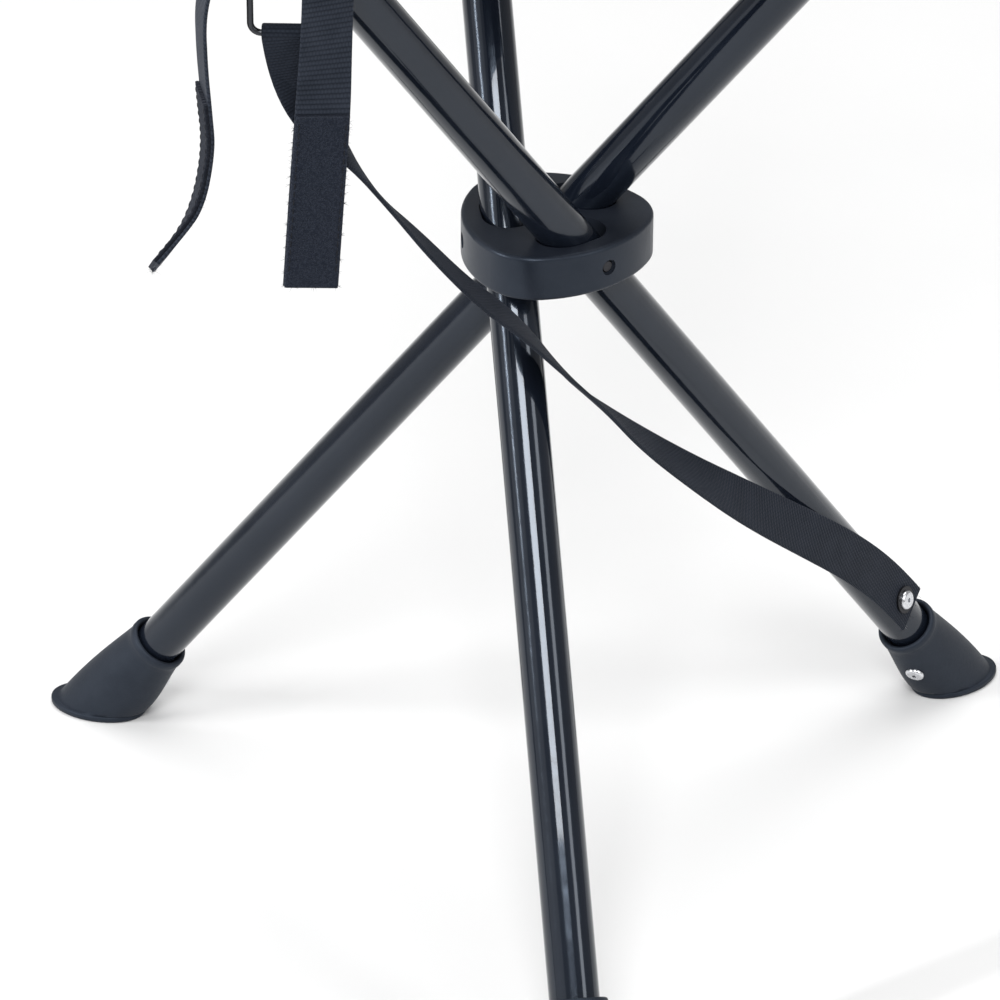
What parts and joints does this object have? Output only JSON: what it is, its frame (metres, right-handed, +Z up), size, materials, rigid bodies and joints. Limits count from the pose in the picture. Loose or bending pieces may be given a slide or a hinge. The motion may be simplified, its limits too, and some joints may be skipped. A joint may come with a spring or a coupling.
{
  "type": "folding tripod stool",
  "caption": "Folding camp stool: crossed tubular legs pivot in a central hub, under a triangular fabric seat, with rubber boots and a carry strap.",
  "frame": {"origin": "on the floor, under the hub's axis, with the stool open", "axes": "+Z up; leg a's foot points 30 degrees from +X towards +Y, leg b's 150 degrees, and leg c's foot points along -Y"},
  "size_m": [0.3912, 0.3731, 0.455],
  "materials": {
    "tube_paint": "gloss black paint",
    "hub_plastic": "satin, fine texture",
    "boot_rubber": "matt moulded rubber",
    "plug_plastic": "matt",
    "pin_steel": "dark oiled steel",
    "rivet_metal": "bright nickel plate",
    "washer_steel": "blackened",
    "seat_fabric": "coarse polyester plain weave",
    "binding_web": "ribbed edge tape",
    "strap_web": "flat polypropylene webbing",
    "loop_pile": "soft brushed loops",
    "hook_pile": "stiff hooks",
    "ring_wire": "black-plated wire"
  },
  "bodies": {
    "hub": {"hub_body": "hub_plastic", "pivot_pin_a": "pin_steel", "pivot_pin_b": "pin_steel", "pivot_pin_c": "pin_steel"},
    "seat": {"seat_panel": "seat_fabric", "edge_binding": "binding_web"},
    "leg_a": {"leg_tube_a": "tube_paint", "top_plug_a": "plug_plastic", "foot_boot_a": "boot_rubber", "foot_rivet_a": "rivet_metal", "corner_pocket_a": "seat_fabric", "carry_strap": "strap_web", "strap_washer": "washer_steel", "strap_rivet": "rivet_metal", "strap_ring": "ring_wire", "ring_tab": "strap_web", "closure_tail_front": "strap_web", "closure_tail_back": "strap_web", "loop_tape": "loop_pile", "hook_tape": "hook_pile"},
    "leg_b": {"leg_tube_b": "tube_paint", "top_plug_b": "plug_plastic", "foot_boot_b": "boot_rubber", "foot_rivet_b": "rivet_metal", "corner_pocket_b": "seat_fabric"},
    "leg_c": {"leg_tube_c": "tube_paint", "top_plug_c": "plug_plastic", "foot_boot_c": "boot_rubber", "foot_rivet_c": "rivet_metal", "corner_pocket_c": "seat_fabric"}
  },
  "joints": [
    {"name": "fold_a", "type": "hinge", "parent": "hub", "child": "leg_a", "pos_m": [0.0084, -0.01455, 0.26577], "axis": [-0.5, 0.866, 0], "range_deg": [0, 37.5]},
    {"name": "fold_b", "type": "hinge", "parent": "hub", "child": "leg_b", "pos_m": [0.0084, 0.01455, 0.26577], "axis": [-0.5, -0.866, 0], "range_deg": [0, 37.5]},
    {"name": "fold_c", "type": "hinge", "parent": "hub", "child": "leg_c", "pos_m": [-0.0168, 0, 0.26577], "axis": [1, 0, 0], "range_deg": [0, 37.5]},
    {"name": "seat_rise", "type": "slide", "parent": "hub", "child": "seat", "axis": [0, 0, 1], "range_m": [0, 0.062], "deforming": ["seat_panel", "edge_binding"]}
  ],
  "couplings": [
    {"joint": "fold_b", "follows": "fold_a", "ratio": 1},
    {"joint": "fold_c", "follows": "fold_a", "ratio": 1},
    {"joint": "seat_rise", "follows": "fold_a", "m_per_rad": 0.0947}
  ]
}
